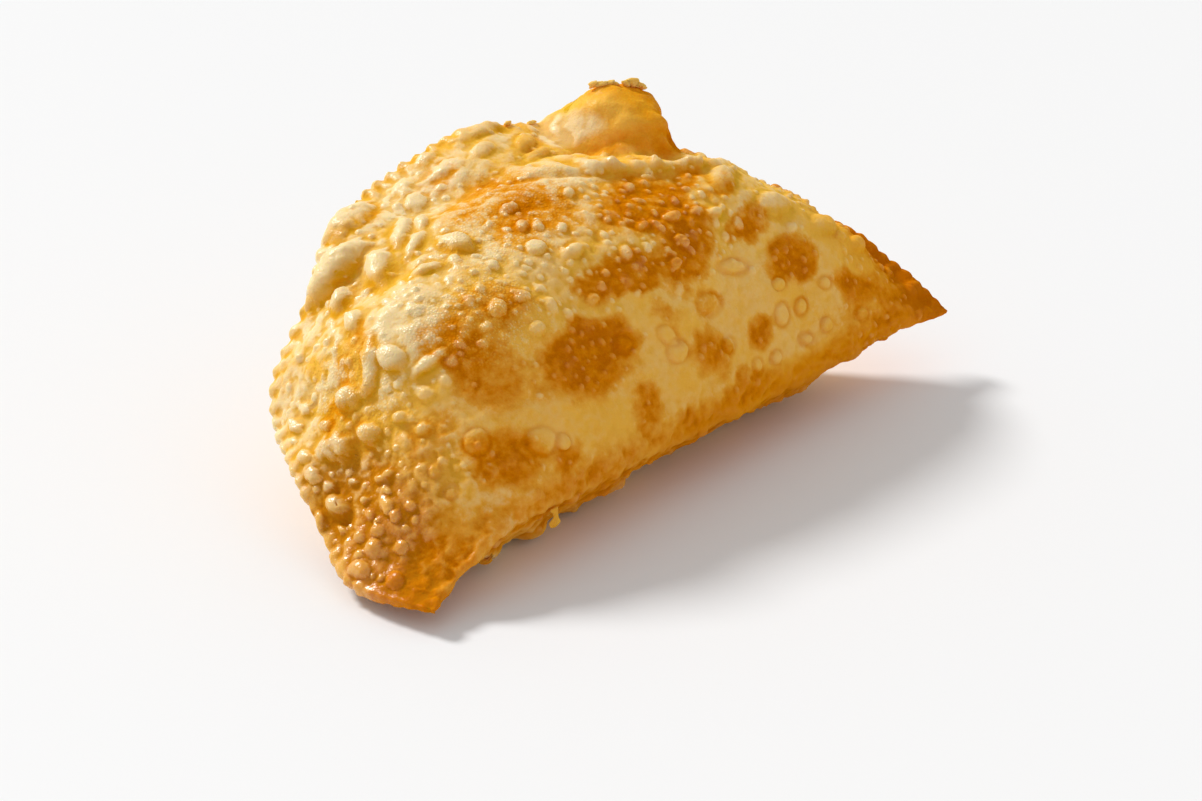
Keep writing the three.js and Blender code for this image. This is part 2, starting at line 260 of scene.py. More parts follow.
# ---------------------------------------------------------------------------
# Large blisters, where steam parted the dough: each a dome seated on its face,
# given by its middle on the flat sheet, half length, half width, turn from the
# fold's direction, height, and how flat its crown is.
# ---------------------------------------------------------------------------
UPPER_BLISTERS = (
    # over the near rim band: a long pillow, round domes and two folds
    (-54, 90.4, 13.5, 6.4, 8, 4.6, 0.0), (-49, 80.5, 9.4, 5.2, 66, 3.6, 0.0),
    (-57, 80.5, 6.4, 3.9, 50, 2.8, 0.0), (-60, 70, 5.4, 3.4, 70, 2.2, 0.0),
    (-41, 103, 11, 7, 22, 2.8, 0.0), (-38.5, 87, 9, 3.2, 42, 2.2, 0.0),
    (-41, 79.5, 7.5, 2.6, 34, 1.7, 0.0), (-33, 86, 5.4, 2.3, 53, 1.4, 0.0),
    (-36, 71.5, 6.4, 4.4, -75, 2.6, 0.1),
    (-45.5, 69, 5.4, 2.6, -20, 1.3, 0.1), (-41, 66.5, 3.2, 2.2, 54, 1.2, 0.1),
    (-24, 95.5, 4.6, 3.8, 70, 0.9, 0.2), (-22, 103, 4.4, 3.2, 60, 1.0, 0.0),
    (-10, 108.5, 5, 3.4, 19, 1.2, 0.0), (-10, 100.5, 7, 3.6, -9, 1.0, 0.0),
    (7, 108, 11, 4.4, -5, 1.7, 0.0), (0.5, 100, 5.4, 3, 14, 1.2, 0.0),
    (14, 97.5, 8, 3, 27, 1.5, 0.0), (11, 91, 8, 2.4, 9, 1.2, 0.0),
    # down the near side to the drooping corner
    (-66, 54.5, 9, 2.8, 52, 2.2, 0.0), (-63, 51, 4.6, 3.4, -67, 2.0, 0.1),
    (-60, 43.5, 7, 2.4, 2, 1.5, 0.0), (-74, 54, 5.8, 4.2, -72, 3.2, 0.2),
    (-78, 66.5, 4.4, 2.6, -68, 2, 0.1), (-79, 56, 3, 1.9, -67, 1.5, 0.1),
    (-82, 67, 3.4, 2.2, 90, 1.6, 0.1), (-77.5, 41.2, 4.8, 3.8, -70, 3, 0.1),
    (-83, 49.5, 8, 4.4, -65, 3.2, 0.1), (-87.5, 58, 3.4, 2.2, -87, 1.6, 0.1),
    (-90, 51.5, 2.7, 2.2, 77, 1.6, 0.1), (-90, 45.5, 2.4, 1.8, -76, 1.3, 0.1),
    (-84, 31, 4.2, 2.4, -48, 2.2, 0.1), (-87, 39.5, 2.4, 1.6, -69, 1.4, 0.1),
    (-92.5, 40.5, 5, 4, 80, 2.6, 0.1), (-91, 29, 2.2, 1.7, 90, 1.5, 0.1),
    (-89, 33, 2.2, 1.6, -74, 1.3, 0.1), (-93, 24.5, 2.2, 1.6, -84, 1.5, 0.1),
    (-96, 29, 1.9, 1.5, 71, 1.4, 0.1), (-97, 23.5, 3.2, 2.5, 62, 1.8, 0.1),
    (-102, 26, 3.6, 2.4, 72, 1.6, 0.1), (-101, 14.5, 3, 2.4, 37, 1.8, 0.1),
    (-93.5, 16.5, 2, 1.8, 72, 1.3, 0.1), (-88.5, 21.5, 1.8, 1.7, 34, 1.2, 0.1),
    (-85.5, 19.5, 1.7, 1.6, 64, 1.1, 0.1), (-96, 37, 2.8, 1.9, 74, 1.6, 0.1),
    (-96.5, 44.5, 3.3, 2.2, 32, 1.8, 0.1), (-65.5, 36.5, 2.4, 1.9, 4, 1.3, 0.1),
    (-72.5, 30, 2.8, 2.2, -15, 1.4, 0.1), (-73, 37, 2.5, 1.9, -51, 1.3, 0.1),
    # single domes over the shoulder and crown
    (-44.5, 46, 3, 2.5, 21, 1.6, 0.2), (-40, 36.5, 2.9, 2.1, 4, 1.3, 0.1),
    (-16.5, 38, 2.5, 2, 2, 1.4, 0.1), (-10, 52.5, 3.4, 2.4, 29, 1.4, 0.2),
    (-18, 58, 3.2, 3, 4, 1.6, 0.3), (-14, 67, 2.5, 1.9, 52, 1.5, 0.1),
    (-11, 64.5, 2.1, 1.7, 45, 1.3, 0.1), (-7, 61, 2.4, 1.6, 46, 1.4, 0.1),
    (-10.5, 74.5, 2.6, 2, 13, 1.5, 0.1), (2, 71, 2.4, 1.7, 30, 1.4, 0.1),
    (19, 50.5, 3.6, 2.2, -6, 1.5, 0.2), (9, 52, 3.1, 2, 2, 1.5, 0.1),
    (15.5, 43.5, 2.8, 2, -2, 1.3, 0.3), (9.5, 38, 2.8, 2.2, 21, 1.3, 0.3),
    (33, 46.5, 3.4, 2.3, 6, 1.6, 0.2), (78, 28.5, 3.2, 1.8, 15, 1.6, 0.1),
    # swellings along the far rim
    (49, 58, 12, 5, 33, 1.8, 0.1), (58, 43, 8, 5, -6, 1.6, 0.1), (74, 33, 8.5, 4, 5, 2, 0.1),
    (86, 26, 7, 3, 15, 1.6, 0.1), (100, 10, 5, 3, 22, 1.4, 0.1), (97, 18, 6, 2.6, 26, 1.4, 0.1),
)
# blisters that sank again and left a shallow disc with a brown outline, partly browning and partly
# painted shade in its groove
SUNKEN_BLISTERS = (
    (-54, 12.5, 5.2, 4.1, -11), (-67, 19.5, 4, 3.7, 22), (15.3, 25.5, 5.4, 3.4, -11),
    (41, 15.7, 4, 3.3, 45), (49.5, 15.4, 3.1, 2.6, 23), (57.4, 8.6, 2.8, 2.3, -12),
    (48.2, 7.7, 3.3, 2, -16), (73, 7.1, 3, 2.3, -7), (29, 31.7, 6, 2.4, -14),
    (-1.3, 18.4, 4.2, 3.5, 10), (-2.1, 22.6, 4.3, 2.8, -41), (-49, 10.5, 2.4, 2.4, 0),
    (34, 7, 2.6, 2.2, 0), (26, 7, 2.4, 2.6, 0), (43.5, 23, 3, 2, 0), (-16, 25, 3.4, 2.6, -20),
    (17, 14.5, 3, 2.6, 0), (-77, 20, 2.2, 1.9, 32), (-78, 14, 2.2, 2, 22), (62, 18, 3, 2, -10),
)
LOWER_BLISTERS = (
    # over the back, unseen from the front: pillows of several sizes behind the rim
    (-60, 84, 12, 6, 30, 2.4, 0.0), (-34, 97, 8, 6, -12, 2.0, 0.1), (4, 101, 12, 5, -4, 2.4, 0.0),
    (41, 80, 9, 6, -35, 1.8, 0.1), (68, 56, 10, 4.6, -48, 2.0, 0.0), (86, 32, 7, 4, -62, 1.8, 0.0),
    (-83, 57, 9, 5, 62, 2.2, 0.0), (-12, 84, 6, 4.6, 15, 1.6, 0.1), (22, 90, 7, 4, -20, 1.6, 0.0),
    (-46, 74, 5, 4, 40, 1.4, 0.1), (58, 66, 4.6, 3.4, -20, 1.4, 0.1), (-70, 68, 4.4, 3.6, 0, 1.6, 0.1),
    # two soft bulges and a swelling under the fold
    (-74, 6.5, 7.5, 4.6, 4, 2.6, 0.0), (-53, 6, 7, 4.6, 0, 2.6, 0.0), (-36, 6, 6, 3.6, 0, 1.2, 0.0),
    (56, 4, 9, 4, 0, 1.6, 0.2),
)


class Seat:
    """A place on a face, with the directions along and across it."""

    def __init__(self, face, side, u, v, turn):
        u, v = np.array([float(u)]), np.array([float(v)])
        self.point = face(u, v)[0]
        self.out = outward(face, u, v)[0] * side
        fold = (face(u + STEP, v) - face(u - STEP, v))[0]
        fold = unit(fold - self.out * (fold @ self.out))
        turn = math.radians(turn) * side
        self.run = fold * math.cos(turn) + np.cross(self.out, fold) * math.sin(turn)
        self.cross = np.cross(self.out, self.run)

    def spread(self, points, long, wide):
        """Squared distance from the seat, 1 on the edge of the oval."""
        d = points - self.point
        deep = d @ self.out / (2 * wide)
        return (d @ self.run / long) ** 2 + (d @ self.cross / wide) ** 2 + deep ** 2


# painted shade: the way the light travels; the sides of a blister that turn this way are painted in
# shade
AWAY_FROM_LIGHT = np.array([0.0, -0.75, -0.66])


def blistered(face, side, blisters, u, v):
    """The face's points with its large blisters on, and three marks for every point: how far up
    a blister it lies, how near to a blister's foot, and how much on its side turned away from
    the light, which the finish paints in shade."""
    points = face(u, v)
    out = outward(face, u, v) * side
    height, crown, foot, shaded_side = np.zeros((4, len(points)))
    for bu, bv, long, wide, turn, rise, flat in blisters:
        seat = Seat(face, side, bu, bv, turn)
        spread = seat.spread(points, long, wide)
        inside = between(0, 1.1 - 0.75 * flat, 1 - spread)
        height += min(rise, 0.65 * wide) * inside
        crown = np.maximum(crown, inside)
        near_foot = np.exp(-(((np.sqrt(spread) - 0.95) * wide / 1.1) ** 2))
        foot = np.maximum(foot, near_foot * min(1, rise / 2.5))
        # painted shade: the part of each blister on its side away from the light
        unlit_way = unit(AWAY_FROM_LIGHT - seat.out * (AWAY_FROM_LIGHT @ seat.out))
        reach = math.hypot(long * (unlit_way @ seat.run), wide * (unlit_way @ seat.cross))
        below = between(-0.1, 0.6, (points - seat.point) @ unlit_way / reach)
        below = below * np.exp(-(((np.sqrt(spread) - 0.72) / 0.3) ** 2))
        shaded_side = np.maximum(shaded_side, below * min(1, rise / 2.6))
    return points + out * height[:, None], crown, foot * (1 - crown), shaded_side


# the height over which the belly eases into the small flat that it rests on
SETTLING = 2


def settled(points):
    """Soft food settles on a small flat: what would lie below the table comes up to it."""
    low = points[:, 2]
    eased = np.where(low < SETTLING, (low + SETTLING) ** 2 / (4 * SETTLING), low)
    points[:, 2] = np.where(low <= -SETTLING, 0, eased)
    return points


# ---------------------------------------------------------------------------
# The crust's mesh: columns of points run from the fold to the rim on each face,
# more points where a column is longer, zipped together; both corners close in a
# fan, and a rounded cut edge joins the two sheets at the rim.
# ---------------------------------------------------------------------------
MM = 0.001
SAMPLES_A_TOOTH = 10
UPPER_SPACING = 0.5
LOWER_SPACING = 0.75
# the cut edge: rows across it, how far it bulges, how deep its seam is
EDGE_ROWS = 4
EDGE_BULGE = 0.55
SEAM_DEPTH = 0.3
columns = np.arange(1, TOOTH_COUNT * SAMPLES_A_TOOTH) / (TOOTH_COUNT * SAMPLES_A_TOOTH)
fold_to_rim = np.linspace(0, 1, 240) ** 1.2


def column_rows(face, spacing):
    """For each column, the evenly spaced places from fold to rim."""
    u, v = flat_place(columns[:, None], fold_to_rim[None, :])
    points = face(u.ravel(), v.ravel()).reshape(len(columns), len(fold_to_rim), 3)
    steps = np.linalg.norm(np.diff(points, axis=1), axis=2)
    length = np.concatenate([np.zeros((len(columns), 1)), np.cumsum(steps, axis=1)], axis=1)
    rows = []
    for arc in length:
        count = max(2, round(arc[-1] / spacing))
        rows.append(np.interp(np.linspace(0, arc[-1], count + 1), arc, fold_to_rim)[1:])
    return rows


def zip_columns(left, right, upper, triangles):
    """Triangles between two columns of point numbers."""
    i = j = 0
    while i < len(left) - 1 or j < len(right) - 1:
        next_left = (i + 1) / (len(left) - 1)
        next_right = (j + 1) / (len(right) - 1)
        if j == len(right) - 1 or (i < len(left) - 1 and next_left <= next_right):
            corner = (left[i], right[j], left[i + 1])
            i += 1
        else:
            corner = (left[i], right[j], right[j + 1])
            j += 1
        triangles.append(corner if upper else (corner[0], corner[2], corner[1]))


fold_u, fold_v = flat_place(np.concatenate([[0], columns, [1]]), np.array(0.0))
points = [settled(leaning_sheet(fold_u, fold_v))]
# for every point its side (1 upper, -1 lower, 0 on the fold or the cut edge), and the marks
# that the blisters left on it
marks = [np.zeros((len(fold_u), 4))]
flat_of = [np.stack([fold_u, fold_v], axis=1)]
near_corner, far_tip = 0, len(fold_u) - 1
next_point = len(fold_u)
triangles = []
rims = []
for face, side, blisters, spacing in (
    (upper_face, 1, UPPER_BLISTERS, UPPER_SPACING),
    (lower_face, -1, LOWER_BLISTERS, LOWER_SPACING),
):
    rows = column_rows(face, spacing)
    turns = np.concatenate([np.full(len(r), c) for r, c in zip(rows, columns)])
    u, v = flat_place(turns, np.concatenate(rows))
    placed, crown, foot, shaded_side = blistered(face, side, blisters, u, v)
    points.append(settled(placed))
    marks.append(np.stack([np.full(len(u), float(side)), crown, foot, shaded_side], axis=1))
    flat_of.append(np.stack([u, v], axis=1))
    lines = []
    for k, row in enumerate(rows):
        lines.append([k + 1, *range(next_point, next_point + len(row))])
        next_point += len(row)
    for left, right in zip(lines, lines[1:]):
        zip_columns(left, right, side > 0, triangles)
    zip_columns([near_corner, near_corner], lines[0], side > 0, triangles)
    zip_columns(lines[-1], [far_tip, far_tip], side > 0, triangles)
    rims.append([line[-1] for line in lines])
triangles = [t for t in triangles if len(set(t)) == 3]

# the cut edge: a rounded bead with the seam of the two sheets along its middle
all_points = np.concatenate(points)
top_rim, low_rim = all_points[rims[0]], all_points[rims[1]]
rim_u, rim_v = flat_place(columns, np.ones(len(columns)))
edge_out = unit(
    leaning_sheet(rim_u * 1.01, rim_v * 1.01) - leaning_sheet(rim_u * 0.99, rim_v * 0.99)
)
edge_lines = [rims[0]]
for row in range(1, EDGE_ROWS):
    t = row / EDGE_ROWS
    bead = EDGE_BULGE * math.sin(math.pi * t) - SEAM_DEPTH * (row == EDGE_ROWS // 2)
    points.append(settled(top_rim + (low_rim - top_rim) * t + edge_out * bead))
    marks.append(np.zeros((len(columns), 4)))
    flat_of.append(np.stack([rim_u, rim_v], axis=1))
    edge_lines.append(list(range(next_point, next_point + len(columns))))
    next_point += len(columns)
edge_lines.append(rims[1])
for above, below in zip(edge_lines, edge_lines[1:]):
    above = [near_corner, *above, far_tip]
    below = [near_corner, *below, far_tip]
    for k in range(len(above) - 1):
        if above[k] != below[k]:
            triangles.append((above[k], above[k + 1], below[k]))
        if above[k + 1] != below[k + 1]:
            triangles.append((above[k + 1], below[k + 1], below[k]))

points = np.concatenate(points)
side_of, crown_of, foot_of, shaded_side_of = np.concatenate(marks).T.copy()
u, v = np.concatenate(flat_of).T

# a sunken blister still stands a little proud as a disc, inside a shallow groove
DISC_RISE = 0.7
GROOVE_DEPTH = 0.3
on_upper = side_of > 0.5
outline, disc = np.zeros((2, len(points)))
for bu, bv, long, wide, turn in SUNKEN_BLISTERS:
    radius = np.sqrt(Seat(upper_face, 1, bu, bv, turn).spread(points, long, wide))
    outline = np.maximum(outline, np.exp(-((radius - 0.9) / (0.6 / wide)) ** 2) * on_upper)
    disc = np.maximum(disc, between(1.0, 0.4, radius) * on_upper)
stands_out = (DISC_RISE * disc - GROOVE_DEPTH * outline)[on_upper, None]
points[on_upper] += outward(upper_face, u[on_upper], v[on_upper]) * stands_out

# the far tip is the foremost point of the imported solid, and it lies at y = 0 here
IN_FRAME = np.array([0.0, cad_box[0][1] / MM, 0.0])
crust_mesh = bpy.data.meshes.new("crust")
crust_mesh.from_pydata(((points + IN_FRAME) * MM).tolist(), [], triangles)
crust_mesh.shade_smooth()


def store(mesh, name, values):
    attribute = mesh.attributes.new(name, "FLOAT", "POINT")
    attribute.data.foreach_set("value", np.asarray(values, np.float32))


# ---------------------------------------------------------------------------
# Browning: where the crust touched the pan or stood thinnest it fried darker.
# Patches are ovals on a face with wandering edges; corners, rim and fold brown too.
# Each tone is stored on the crust's points, for its finish to read. Some of them are
# painted light: shade on the sides of blisters turned away from the light, on the far side
# of the great bubble and beside the near pillows, and warm bounced light on the front.
# ---------------------------------------------------------------------------
# middle on the flat sheet, half length, half width, turn, strength
BROWN_PATCHES = (
    (16, 57, 14, 9, 9, 0.95), (17, 42, 13.5, 8, 39, 1.0), (-4.5, 40.5, 14, 5, -10, 1.0),
    (-31, 24, 15, 9, -4, 1.0), (-23, 27.5, 12, 5.5, -16, 1.0), (-54, 31, 10, 8.5, -59, 0.72),
    (-46, 46, 12, 7.5, -10, 0.42), (-55.5, 43.5, 8.5, 6.5, -60, 0.5),
    (52.5, 27.5, 10, 6.5, -9, 1.0), (41.5, 41, 8, 4.5, 19, 0.85),
    (75.5, 14, 9.5, 4.5, -17, 0.9), (10, 14.5, 8.5, 6.8, -5, 0.85), (31, 14, 5.2, 4.6, 30, 0.85),
    (-18.5, 9, 6, 5.5, 29, 0.8), (-64.5, 13, 9.4, 6.6, -21, 0.85), (-50, 6.7, 5, 3.4, 8, 0.95),
    (14.5, 25.9, 6, 3.6, -8, 0.55), (-4.4, 2.5, 5.3, 3.7, -34, 0.8), (21, 4, 8, 3.2, -8, 0.8),
    (0, 29, 5, 3, -31, 0.5), (-11, 82, 15, 10, 15, 0.46), (-8, 70, 12, 7, 20, 0.45),
    (-12, 99, 7, 5, 36, 0.35), (-37, 102, 6, 5, 70, 0.25), (14, 96, 8, 4, 27, 0.35),
    (35, 60, 6, 4, 30, 0.7), (42, 53.5, 6, 3.6, 18, 0.65), (-63, 62, 6, 3.8, 65, 0.4),
    (-70, 60, 4, 3, 60, 0.3), (-79, 48, 5, 4, -70, 0.25), (-73, 27, 8, 6, 0, 0.45),
    (-84, 33, 6, 4, -60, 0.38), (-78, 55, 5, 4, 0, 0.28),
)
UNDER_PATCHES = (
    (-40, 20, 22, 12, 0, 0.9), (10, 24, 26, 14, 0, 0.8), (48, 26, 14, 10, 0, 0.9),
    (-20, 60, 18, 12, 20, 0.7), (30, 64, 14, 12, -20, 0.8), (-62, 50, 12, 14, 0, 0.7),
    (-80, 70, 8, 8, 0, 0.5), (0, 92, 14, 8, 0, 0.5), (-8, 76, 8, 5, 30, 0.6), (60, 44, 8, 5, -30, 0.7),
    (-34, 42, 7, 6, 0, 0.6), (24, 44, 6, 5, 0, 0.7), (40, 82, 7, 5, 0, 0.5), (-52, 76, 6, 5, 0, 0.55),
    (78, 30, 8, 5, -20, 0.6),
)


def cloud(places, size, seed):
    """Smooth random heights between -1 and 1, with lumps of the given size."""
    random = np.random.default_rng(seed).uniform(-1, 1, (64, 64, 64))
    cell = np.floor(places / size).astype(int)
    t = places / size - cell
    t = t * t * (3 - 2 * t)
    total = 0
    for corner in np.ndindex(2, 2, 2):
        weight = np.prod(np.where(corner, t, 1 - t), axis=1)
        a, b, c = ((cell + corner) % 64).T
        total = total + weight * random[a, b, c]
    return total


# how far the edges of the patches wander, in three directions
WANDER_REACH = 2.2
wander = np.stack(
    [cloud(points, 7, seed) + 0.5 * cloud(points, 3, seed + 9) for seed in range(3)], axis=1
)


def browned(face, side, patches):
    """How strongly each point lies in the patches, 0 outside them all."""
    left = np.ones(len(points))
    for pu, pv, long, wide, turn, strength in patches:
        seat = Seat(face, side, pu, pv, turn)
        spread = seat.spread(points + WANDER_REACH * wander, long, wide)
        left *= 1 - strength * between(2.2, 0.1, spread)
    return 1 - left


def off(middle_u, middle_v, tall=1):
    """Distance on the flat sheet from a place, in ovals that may be taller than wide."""
    return np.hypot(u - middle_u, (v - middle_v) / tall)


place_of, from_rim = polar(u, v)
on_top = side_of > -0.5
on_back = side_of < -0.5
wheel_wave = -np.cos(np.radians(place_of) * TOOTH_COUNT * 2)
groove = np.clip(wheel_wave * between(6, 1, from_rim) * wheel_mark(place_of), 0, 1)
# the bubble's skin, down to the line where the brow hides its foot
brow_line = v + 0.8 * (u - 28)
bubble = between(1.4, 0.7, Seat(upper_face, 1, 46, 94, -15).spread(points, 24, 24))
bubble = bubble * on_top * between(79.5, 83, brow_line)
bubble_far_side = np.clip(between(34, 66, u) + 0.7 * between(94, 74, v), 0, 1)
fold_tone = 0.28 * between(14, 2, v) + (0.3 + 0.12 * between(-70, -50, u)) * between(7, 1, v)
corner_tone = 0.75 * between(20, 8, off(-98, 17, 1.3)) * (0.85 + 0.3 * cloud(points, 5, 41))
patches = browned(upper_face, 1, BROWN_PATCHES) * on_top
tones = (
    patches,
    browned(lower_face, -1, UNDER_PATCHES) * on_back,
    # the far tip and the front beside it
    0.95 * between(76, 98, u),
    0.5 * between(48, 78, u) * between(20, 6, v) * on_top,
    # the drooping corner and the near side above it
    corner_tone,
    0.85 * between(17, 5, off(-104, 8)),
    0.35 * between(-72, -84, u) * between(34, 22, v),
    # the fold, the crown, the rim, and the far side of the great bubble, browned and painted in shade
    fold_tone + 0.2 * on_back * between(20, 8, v),
    0.32 * between(30, 4, np.hypot((u - 2) / 1.6, v - 66)) * on_top,
    between(9, 1, from_rim) * (0.06 + 0.64 * between(35, 75, u)),
    0.5 * bubble * bubble_far_side + 0.35 * bubble * between(42, 50, u),
    # blisters' feet, painted shade on the sides of blisters turned away from the light, and the
    # wheel's grooves
    0.1 * foot_of,
    0.15 * shaded_side_of,
    0.08 * groove,
)
brown = 1 - np.prod([1 - tone for tone in tones], axis=0)
brown = brown + 0.5 * between(90, 103, u) + 0.3 * between(15, 5, off(-106, 8))
store(crust_mesh, "brown", brown)
# the near shoulder and band stayed pale cream; the rest turned gold in the oil; on the front the gold
# and amber also paint the warm light bounced onto it
PALE_PATCHES = (
    (-57, 56, 15, 10, 30, 1.0), (-50, 90, 26, 16, 15, 1.0), (-22, 99, 20, 10, 0, 1.0),
    (2, 78, 16, 7, 0, 0.85), (-38, 68, 10, 8, 0, 0.9), (5, 101, 12, 5, 0, 0.8),
    (-12, 72, 34, 16, 15, 0.45), (-76, 66, 15, 10, -40, 1.0), (-88, 46, 9, 14, -20, 0.85),
    (-18, 62, 14, 6, 0, 0.3), (-98, 22, 6, 8, 0, 0.4), (-74, 46, 9, 7, 0, 0.4),
    (-61, 70, 6, 4, 0, 1.0),
)
GOLD_PATCHES = (
    (13, 95, 7, 4, 27, 0.8), (28, 104.5, 6, 4, 32, 0.7), (1.4, 101, 5, 3.6, 43, 0.4),
    (-65, 60.5, 6, 4.4, -68, 0.8), (-71, 69.5, 5, 3, -59, 0.8), (-77, 47, 5, 3, -61, 0.6),
    (-78, 55, 6, 3.2, -65, 0.3), (-40, 92, 4, 3, 0, 0.5), (28, 76, 26, 5, -20, 0.45),
)
gold_spots = browned(upper_face, 1, GOLD_PATCHES)
gold = 0.85 * (1 - browned(upper_face, 1, PALE_PATCHES)) + 0.35 * foot_of
gold = gold + 0.2 * groove + gold_spots * on_top
gold = gold - 0.38 * between(34, 20, v)
back_gold = 0.5 + 0.45 * cloud(points, 15, 31) + 0.25 * cloud(points, 6, 32)
gold = np.where(on_back, back_gold + 0.4 * between(16, 4, v), gold)
# the bubble is gold toward the far tip and pale toward the near corner, partly paler dough and partly
# a painted highlight
bubble_drop = v + 0.45 * (u - 30)
bubble_gold = 0.9 + 0.5 * between(30, 36, u)
bubble_gold = bubble_gold - 1.25 * between(32.5, 27.5, u) * between(85, 91, bubble_drop)
gold = gold * (1 - bubble) + bubble * bubble_gold
store(crust_mesh, "gold", np.clip(gold, -0.2, 1.4))
# amber: the foot and far side of the great bubble, browned and painted in shade there, the fold and
# the far rim, and corner and tip; painted shade on the sides of blisters turned away from the light;
# and the front, where it also paints warm bounced light
amber = np.max([
    bubble * np.maximum(0.9 * between(30, 41, u), 0.9 * between(88, 81, bubble_drop)),
    between(9, 2, v) * between(-70, 20, u),
    0.6 * between(16, 4, from_rim) * between(32, 50, u) * on_top,
    0.7 * between(60, 84, u),
    0.5 * shaded_side_of,
    0.33 * between(34, 20, v) * on_top,
    0.3 * gold_spots * on_top,
], axis=0)
store(crust_mesh, "amber", amber)
# oil clings to the blistered crown and near side, less to the front, the fold and both ends
oiled = 0.25 + 0.75 * np.maximum(between(30, 46, v), between(-60, -78, u))
oiled = oiled * (1 - 0.8 * bubble * between(27, 33, u)) * (1 - 0.7 * between(88, 98, u))
oiled = oiled * (1 - 0.7 * between(-60, -78, u) * between(14, 5, v))
store(crust_mesh, "oiled", oiled * (1 - 0.6 * between(14, 6, off(-105, 9))))
# it pooled in the drooping corner, which shines; the finish also colours the corner darker
wet = between(34, 20, off(-104, 24, 1.4))
store(crust_mesh, "wet", wet * (1 - between(-97, -88, u) * between(18, 9, v)))
crown_shine = 0.8 * crown_of * between(-56, -72, u)
store(crust_mesh, "shine", np.maximum(wet * between(8, 18, v), crown_shine))
# painted shadow: the hollow beside the near pillows is painted in shade, like the sides turned away
# from the light
pillow_shadow = browned(upper_face, 1, ((-78, 55, 6.5, 4, -65, 1.0),))
store(crust_mesh, "shaded_side", np.maximum(shaded_side_of, pillow_shadow * on_top))
store(crust_mesh, "outline", outline)
store(crust_mesh, "side", side_of)
# fine sandy bubbling on the shoulder, along the crest and down the near side
SANDY_PATCHES = (
    (-48, 46, 16, 11, -10, 1), (-14, 72, 24, 12, 20, 0.8), (-74, 52, 14, 16, 0, 0.8),
)
store(crust_mesh, "sandy", browned(upper_face, 1, SANDY_PATCHES) * on_top)
# where small blisters crowd: the crown of the puff, the near side, the far rim
crowd = (0.75 + 0.25 * between(68, 76, brow_line) * between(0, 14, u)) * between(26, 44, v)
crowd = np.maximum(crowd, 0.42 * between(-62, -80, u) * between(9, 19, v))
crowd = np.maximum(crowd, 0.5 * between(64, 90, u))
# fewer on the large blisters, the great bubble, both ends, and the smoother places between
crowd = crowd * between(1, 4, from_rim) * (1 - between(0.1, 0.5, crown_of)) * (1 - bubble)
crowd = crowd * (1 - 0.8 * between(60, 78, v) * between(-45, -30, u))
crowd = crowd * (1 - 0.6 * between(40, 52, v) * between(-50, -62, u)) * (1 - between(90, 99, u))
crowd = crowd * (1 - 0.9 * between(15, 7, off(-103, 8)))
crowd = crowd * (1 - 0.5 * between(34, 44, u) * between(78, 66, u) * between(64, 56, v))
store(crust_mesh, "crowd", crowd)
# the smallest ones stand in the browned patches too
in_patches = 0.8 * patches ** 2 * between(1, 4, from_rim) * (1 - bubble)
store(crust_mesh, "crowd_fine", np.maximum(crowd, in_patches))
store(crust_mesh, "crowd_under", np.full(len(points), 0.6))
# the dough is uneven everywhere, puffed all along the near rim and side, and lumpy on the
# fold and the far rim
store(crust_mesh, "everywhere", np.ones(len(points)))
near_rim = between(30, 12, from_rim) * between(50, 80, v) * between(20, -20, u)
puffy = np.maximum(between(-52, -74, u), near_rim)
store(crust_mesh, "puffy", puffy * between(0, 3, from_rim) * on_top)
lumpy_fold = between(9, 1, v) * (1 - 0.8 * between(84, 96, u))
lumpy_rim = 0.9 * between(10, 2, from_rim) * between(40, 60, u) * between(100, 86, u)
store(crust_mesh, "lumpy", np.clip(lumpy_fold + lumpy_rim, 0, 1))

# ---------------------------------------------------------------------------
# Small blisters and the dough's own unevenness, laid over both faces by one
# Geometry Nodes tree each: seeds scattered on the crust raise domes in it, and
# noise moves it in and out. Sizes here are in metres.
# ---------------------------------------------------------------------------


class Tree:
    """A node tree under construction, with its links made as nodes are added."""

    def __init__(self, tree):
        self.tree = tree

    def node(self, kind, settings=None, **sockets):
        made = self.tree.nodes.new(kind)
        for name, value in (settings or {}).items():
            setattr(made, name, value)
        for name, value in sockets.items():
            self.fill(made, name.replace("_", " "), value)
        return made

    def fill(self, made, name, value):
        """Set or link the input of that name, or of that number where the name starts with #."""
        socket = made.inputs[int(name[1:])] if name[:1] == "#" else made.inputs[name]
        if isinstance(value, Term):
            value = value.socket
        if isinstance(value, bpy.types.NodeSocket):
            self.tree.links.new(value, socket)
        else:
            socket.default_value = value

    def math(self, operation, *values):
        made = self.tree.nodes.new("ShaderNodeMath")
        made.operation = operation
        for index, value in enumerate(values):
            self.fill(made, f"#{index}", value)
        return Term(self, made.outputs[0])

    def vector(self, operation, *values, output="Vector"):
        made = self.tree.nodes.new("ShaderNodeVectorMath")
        made.operation = operation
        for index, value in enumerate(values):
            self.fill(made, f"#{index}", value)
        return Term(self, made.outputs[output])

    def scaled(self, vector, amount):
        made = self.vector("SCALE", vector)
        self.fill(made.socket.node, "Scale", amount)
        return made

    def named(self, name, kind="FLOAT"):
        made = self.node("GeometryNodeInputNamedAttribute", {"data_type": kind}, Name=name)
        return Term(self, made.outputs["Attribute"])

    def stored(self, geometry, name, value, kind="FLOAT"):
        return self.node(
            "GeometryNodeStoreNamedAttribute", {"data_type": kind, "domain": "POINT"},
            Geometry=geometry, Name=name, Value=value,
        ).outputs["Geometry"]


